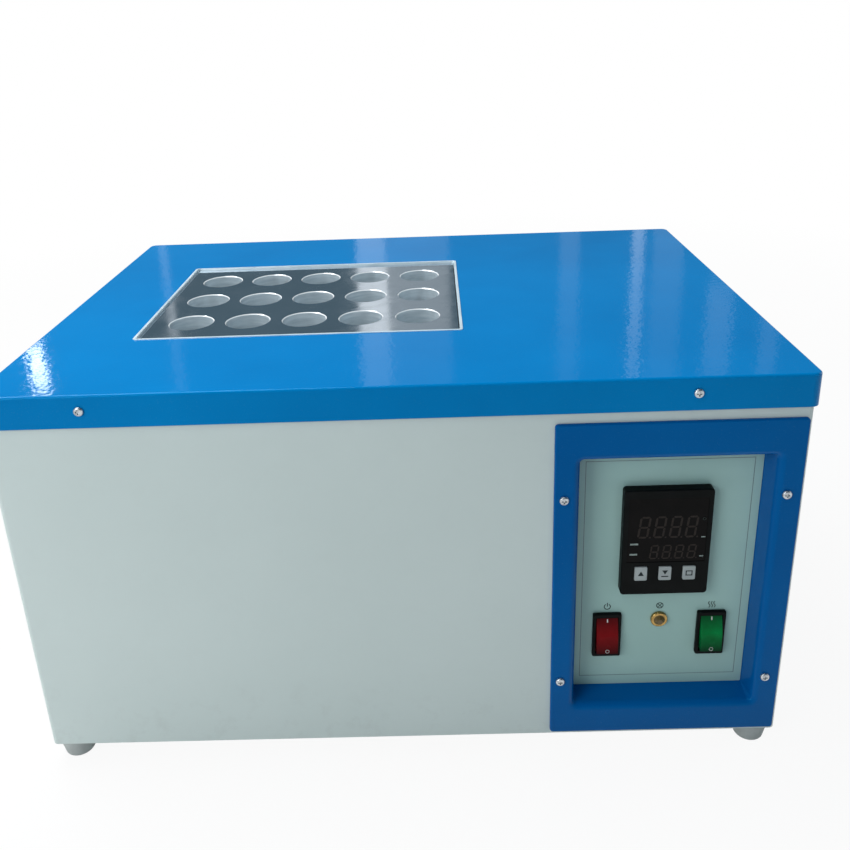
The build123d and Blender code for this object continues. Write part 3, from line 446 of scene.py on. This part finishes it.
def printed(name, shapes, plane, body, finish):
    """Thin closed plates of flat shapes, in millimetres on a plane, standing just proud of it."""
    middle, across, up = plane
    out = across.cross(up)
    verts = []
    faces = []
    for shape in shapes:
        start = len(verts)
        for lift in (PRINT_FRONT, PRINT_BACK):
            verts += [middle + across * (x / MM) + up * (z / MM) + out * lift for x, z in shape]
        n = len(shape)
        faces.append(list(range(start, start + n)))
        faces.append([start + n + i for i in reversed(range(n))])
        for i in range(n):
            j = (i + 1) % n
            faces.append([start + i, start + n + i, start + n + j, start + j])
    mesh = bpy.data.meshes.new(name)
    mesh.from_pydata(verts, [], faces)
    mesh.validate()
    mesh.materials.append(finish)
    obj = added(name, mesh)
    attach(obj, body)


# ---------------------------------------------------------------- the film's rule and signs
# The rule's distances from the film's edges, and its width.
RULE_LEFT = 5.0
RULE_LOW = 9.6
RULE_RIGHT = 6.8
RULE_TOP = 8.9
RULE_WIDTH = 0.5

SIGN_STROKE = 0.65
POWER_STROKE = 0.7
POWER_RADIUS = 2.6
POWER_ARC = (125, 415)  # degrees at which the broken circle starts and ends
POWER_BAR = (0.4, 3.6)  # heights of the bar's ends above the circle's middle
LAMP_RADIUS = 2.7
LAMP_CROSS_STROKE = 0.6
WAVE_PITCH = 2.2
WAVE_SWING = 0.7
WAVE_HEIGHT = 5.6
WAVE_STEPS = 12


def power_mark(x, z):
    """A broken circle with a bar in its gap."""
    low, high = POWER_BAR
    circle = arc(x, z, POWER_RADIUS, *POWER_ARC)
    return line(circle, POWER_STROKE) + line([(x, z + low), (x, z + high)], POWER_STROKE)


def lamp_mark(x, z):
    """A circle with a cross in it."""
    d = LAMP_RADIUS * math.sqrt(0.5)
    return (line(arc(x, z, LAMP_RADIUS, 0, 360), SIGN_STROKE)
            + line([(x - d, z - d), (x + d, z + d)], LAMP_CROSS_STROKE)
            + line([(x - d, z + d), (x + d, z - d)], LAMP_CROSS_STROKE))


def heat_mark(x, z):
    """Three upright waves side by side."""
    strips = []
    for side in (-WAVE_PITCH, 0, WAVE_PITCH):
        wave = []
        for step in range(WAVE_STEPS + 1):
            share = step / WAVE_STEPS
            swing = WAVE_SWING * math.sin(share * 2 * math.pi)
            wave.append((x + side + swing, z + (share - 0.5) * WAVE_HEIGHT))
        strips += line(wave, SIGN_STROKE)
    return strips


label_low, label_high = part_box("panel_label")
half_width = (label_high[0] - label_low[0]) / 2 * MM
half_height = (label_high[2] - label_low[2]) / 2 * MM
corners = rectangle(RULE_LEFT - half_width, RULE_LOW - half_height,
                    half_width - RULE_RIGHT, half_height - RULE_TOP)
printed("label_rule", line(corners, RULE_WIDTH, closed=True), facing("panel_label"), "cabinet", RULE_INK)

# Each sign's form, its place from the middle of the sub-part below it, and that sub-part.
for name, sign, x, z, below in (
        ("mains_mark", power_mark, 0.0, 27.4, "mains_switch_housing"),
        ("load_mark", lamp_mark, 0.3, 13.2, "lamp_bezel"),
        ("heat_mark", heat_mark, 0.1, 27.2, "heat_switch_housing")):
    printed(name, sign(x, z), on_label(below), "cabinet", BLACK_INK)


# ---------------------------------------------------------------- the rockers' I and O
ON_WIDTH = 0.9
ON_LOW = 1.8
ON_HIGH = 4.8
OFF_MIDDLE = -3.2
OFF_RADIUS = 1.5
OFF_STROKE = 0.6

on_mark = [rectangle(-ON_WIDTH / 2, ON_LOW, ON_WIDTH / 2, ON_HIGH)]
off_mark = line(arc(0, OFF_MIDDLE, OFF_RADIUS, 0, 360), OFF_STROKE)
for rocker, slot in (("mains_rocker", "red_rocker"), ("heat_rocker", "green_rocker")):
    printed(rocker + "_on", on_mark, facet(rocker, True), rocker, WHITE_INK)
    printed(rocker + "_off", off_mark, facet(rocker, False), rocker, WHITE_INK)


# ---------------------------------------------------------------- the controller's face
# The display's two rows of figures: lower left corner, pitch, a figure's width and height, a bar's width.
UPPER_DIGITS = {"left": -24.6, "low": 4.9, "pitch": 12.8, "wide": 9.0, "tall": 20.4, "bar": 1.7}
LOWER_DIGITS = {"left": -14.0, "low": -15.1, "pitch": 10.2, "wide": 7.0, "tall": 13.4, "bar": 1.3}
DIGIT_SLANT = 0.12
DIGIT_GAP = 0.22  # between two bars, as a share of their width

# Bars beside the figures: middle, width and height.
OUTPUT_BARS = ((-26.4, -0.5, 6.6, 1.5), (-26.6, -10.3, 6.2, 1.5))
UNIT_BARS = ((29.4, 5.1, 3.2, 1.0), (29.0, -13.1, 3.2, 1.0))
DEGREE_RING = (29.2, 22.1, 1.1)  # middle and radius
DEGREE_STROKE = 0.45

UP_ARROW = [(-2.5, -1.8), (2.5, -1.8), (0, 2.6)]
DOWN_ARROW = [(-2.4, 3.1), (0, -1.0), (2.4, 3.1)]
DOWN_BAR = (0, -2.8, 5.8, 1.1)
SET_BOX = (-2.4, -2.0, 2.4, 2.0)
SET_STROKE = 0.9


def digit(x, z, wide, tall, bar):
    """The seven bars and the point of one figure eight, leaning to the right from its lower left corner."""
    half = tall / 2
    gap = bar * DIGIT_GAP

    def lean(points):
        return [(x + px + DIGIT_SLANT * pz, z + pz) for px, pz in points]

    def flat(pz):
        left = bar / 2 + gap
        right = wide - left
        return lean([(left, pz), (left + bar / 2, pz + bar / 2), (right - bar / 2, pz + bar / 2),
                     (right, pz), (right - bar / 2, pz - bar / 2), (left + bar / 2, pz - bar / 2)])

    def upright(px, low, high):
        foot = low + gap
        head = high - gap
        return lean([(px, foot), (px + bar / 2, foot + bar / 2), (px + bar / 2, head - bar / 2),
                     (px, head), (px - bar / 2, head - bar / 2), (px - bar / 2, foot + bar / 2)])

    shapes = [flat(bar / 2), flat(half), flat(tall - bar / 2)]
    for px in (bar / 2, wide - bar / 2):
        shapes += [upright(px, bar / 2, half), upright(px, half, tall - bar / 2)]
    point = rectangle(wide + bar * 0.5, 0, wide + bar * 1.3, bar * 0.8)
    return shapes + [lean(point)]


def row_of_digits(left, low, pitch, wide, tall, bar):
    """Four figure eights side by side."""
    shapes = []
    for place in range(4):
        shapes += digit(left + place * pitch, low, wide, tall, bar)
    return shapes


def bar_marks(bars):
    """Level bars, each with its middle, width and height."""
    shapes = []
    for bar in bars:
        shapes += bar_mark(*bar)
    return shapes


# The window's front plane, with its middle in line with the housing's.
middle, across, up = facing("controller_housing")
window = (Vector((middle.x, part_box("controller_window")[0][1], middle.z)), across, up)
degree = line(arc(*DEGREE_RING, 0, 360, 16), DEGREE_STROKE)
for name, shapes, finish in (
        ("upper_digits", row_of_digits(**UPPER_DIGITS), SEGMENT),
        ("lower_digits", row_of_digits(**LOWER_DIGITS), SEGMENT),
        ("output_marks", bar_marks(OUTPUT_BARS), PALE_INK),
        ("unit_marks", degree + bar_marks(UNIT_BARS), PALE_INK)):
    printed(name, shapes, window, "cabinet", finish)

for key, shapes in (
        ("up_key", [UP_ARROW]),
        ("down_key", [DOWN_ARROW] + bar_mark(*DOWN_BAR)),
        ("set_key", line(rectangle(*SET_BOX), SET_STROKE, closed=True))):
    printed(key + "_mark", shapes, facing(key), key, BLACK_INK)


# ---------------------------------------------------------------- softened edge of the film
FILM_BEVEL = 0.0001
BEVEL_FROM = math.radians(50)  # edges that turn by more than this are bevelled

edge = NODES["panel_label"].modifiers.new("edge", "BEVEL")
edge.width = FILM_BEVEL
edge.segments = 1
edge.limit_method = "ANGLE"
edge.angle_limit = BEVEL_FROM


# ---------------------------------------------------------------- floor and backdrop
FLOOR_REACH = 8.0
BACKDROP_HEIGHT = 1.5
BACKDROP_SIDES = 64
# The floor beside the object is seen as this share of white, and the rest of it shows the object's shadow.
FLOOR_WHITE = 0.92
BACKDROP_WHITE = 1.0
# Distances from the object's middle between which the floor goes all white.
WHITE_FROM = 0.7
WHITE_BY = 2.0


def studio_white(name, near):
    """A pale surface that is lit like any other, and that the camera, mirrors and glass see as white.

    The share of white is what near says beside the object, and grows with the distance to all of it.
    """
    f = Finish(name, Metallic=0.0)
    f.colour(f.mottle(f.noise(3, detail=2), (0.78, 0.78, 0.78), (0.80, 0.80, 0.80)))
    f.roughness(f.spread(f.noise(30, detail=2), 0.6, 0.7))
    path = f.node("ShaderNodeLightPath")
    seen = path.outputs["Is Camera Ray"]
    for ray in ("Is Glossy Ray", "Is Transmission Ray"):
        seen = f.maths("MAXIMUM", seen, path.outputs[ray])
    distance = f.node("ShaderNodeVectorMath")
    distance.operation = "LENGTH"
    f.link(f.coords, distance.inputs[0])
    share = f.spread(distance.outputs["Value"], near, 1.0, WHITE_FROM, WHITE_BY)
    mix = f.node("ShaderNodeMixShader")
    f.link(f.maths("MULTIPLY", seen, share), mix.inputs[0])
    f.link(f.bsdf.outputs[0], mix.inputs[1])
    f.link(f.node("ShaderNodeEmission").outputs[0], mix.inputs[2])
    f.link(mix.outputs[0], f.tree.nodes["Material Output"].inputs["Surface"])
    return f.mat


def stage_mesh(name, verts, faces, material):
    """A surface that belongs to the studio and not to the object."""
    mesh = bpy.data.meshes.new(name)
    mesh.from_pydata(verts, [], faces)
    mesh.materials.append(material)
    obj = added(name, mesh)


low_ring = []
high_ring = []
walls = []
for i in range(BACKDROP_SIDES):
    j = (i + 1) % BACKDROP_SIDES
    angle = 2 * math.pi * i / BACKDROP_SIDES
    low_ring.append((FLOOR_REACH * math.cos(angle), FLOOR_REACH * math.sin(angle), 0))
    high_ring.append((FLOOR_REACH * math.cos(angle), FLOOR_REACH * math.sin(angle), BACKDROP_HEIGHT))
    walls.append([i, j, BACKDROP_SIDES + j, BACKDROP_SIDES + i])
stage_mesh("floor", low_ring, [list(range(BACKDROP_SIDES))], studio_white("floor_white", FLOOR_WHITE))
stage_mesh("backdrop", low_ring + high_ring, walls, studio_white("backdrop_white", BACKDROP_WHITE))


# ---------------------------------------------------------------- light
# Dim lights beyond the object, which the glossy cover and the metal block mirror as faint upright bands:
# the middle's x and height, the light's width and height, and its power in watts.
WINDOW_DISTANCE = 2.5
WINDOW_TURN = 0.3  # a window is aimed at this share of its own x
WINDOW_AIM = 0.3   # and at this height
WINDOWS = (
    (-1.05, 1.25, 0.03, 1.1, 0.035),
    (-0.226, 1.25, 0.12, 1.1, 0.27),
    (-0.04, 1.25, 0.25, 1.1, 0.18),
    (0.56, 1.25, 0.08, 1.1, 0.055),
    (0.83, 1.25, 0.045, 1.1, 0.11),
    (0.95, 1.25, 0.12, 1.1, 0.075),
    (1.17, 1.36, 0.10, 0.42, 0.042),
    (1.38, 1.36, 0.07, 0.42, 0.024),
)


def softbox(name, place, aim, size, power):
    """A rectangular lamp at a place, turned to what it lights and not seen by the camera itself."""
    light = bpy.data.lights.new(name, "AREA")
    light.shape = "RECTANGLE"
    light.size, light.size_y = size
    light.energy = power
    obj = added(name, light)
    obj.location = place
    obj.rotation_euler = (Vector(aim) - Vector(place)).to_track_quat("-Z", "Y").to_euler()
    obj.visible_camera = False


softbox("overhead", place=(-0.95, 0.40, 2.2), aim=(0, 0.05, 0.3), size=(1.6, 1.6), power=54)
softbox("front_left", place=(-1.05, -1.25, 0.95), aim=(-0.25, -0.1, 0.2), size=(0.8, 0.8), power=11.3)
softbox("right_side", place=(1.9, 0.15, 0.9), aim=(0.3, 0, 0.2), size=(1.0, 1.0), power=7)
softbox("top_front", place=(-0.2, -1.1, 2.2), aim=(0, -0.2, 0.2), size=(0.8, 0.4), power=3.5)
for index, (x, z, width, height, power) in enumerate(WINDOWS):
    softbox(f"window_{index}", place=(x, WINDOW_DISTANCE, z), aim=(x * WINDOW_TURN, 0, WINDOW_AIM),
            size=(width, height), power=power)

# A small window whose mirror image is the bright patch near the cover's front left corner.
softbox("far_window", place=(-1.215, 1.66, 1.09), aim=(-0.295, -0.184, 0.356), size=(0.042, 0.15),
        power=0.19)


def studio_world():
    """Dim bluish light from all round, which the camera alone sees as white above the backdrop."""
    world = bpy.data.worlds.new("studio")
    world.use_nodes = True
    nodes = world.node_tree.nodes
    links = world.node_tree.links
    around = nodes["Background"]
    around.inputs["Color"].default_value = (0.085, 0.13, 0.16, 1)
    beyond = nodes.new("ShaderNodeBackground")
    beyond.inputs["Color"].default_value = (1, 1, 1, 1)
    path = nodes.new("ShaderNodeLightPath")
    choose = nodes.new("ShaderNodeMixShader")
    links.new(path.outputs["Is Camera Ray"], choose.inputs[0])
    links.new(around.outputs[0], choose.inputs[1])
    links.new(beyond.outputs[0], choose.inputs[2])
    links.new(choose.outputs[0], nodes["World Output"].inputs["Surface"])
    return world


bpy.context.scene.world = studio_world()


# ---------------------------------------------------------------- camera
# The camera fitted to the photo, in pixels of a picture as wide and tall as IMAGE: its focal length and its
# principal point's height. Then its place, and the ways to its right and ahead.
IMAGE = 850.0
FOCAL = 868.54
PRINCIPAL_Y = 330.0
CAMERA_PLACE = (0.03586, -0.8326, 0.61554)
CAMERA_RIGHT = (0.9994, 0.0048, -0.0347)
CAMERA_AHEAD = (-0.0164, 0.9399, -0.3411)
SENSOR = 36.0  # millimetres
NEAREST = 0.01


def photo_camera():
    """The photo's camera, with its axes made square to each other."""
    ahead = Vector(CAMERA_AHEAD).normalized()
    right = Vector(CAMERA_RIGHT)
    right = (right - ahead * right.dot(ahead)).normalized()
    above = right.cross(ahead)
    data = bpy.data.cameras.new("camera")
    data.sensor_fit = "HORIZONTAL"
    data.sensor_width = SENSOR
    data.lens = FOCAL / IMAGE * SENSOR
    data.shift_y = -(IMAGE / 2 - PRINCIPAL_Y) / IMAGE
    data.clip_start = NEAREST
    camera = added("camera", data)
    turn = Matrix((right, above, -ahead)).transposed()
    camera.matrix_world = Matrix.Translation(CAMERA_PLACE) @ turn.to_4x4()
    return camera


bpy.context.scene.camera = photo_camera()
bpy.context.scene.view_settings.view_transform = "Standard"
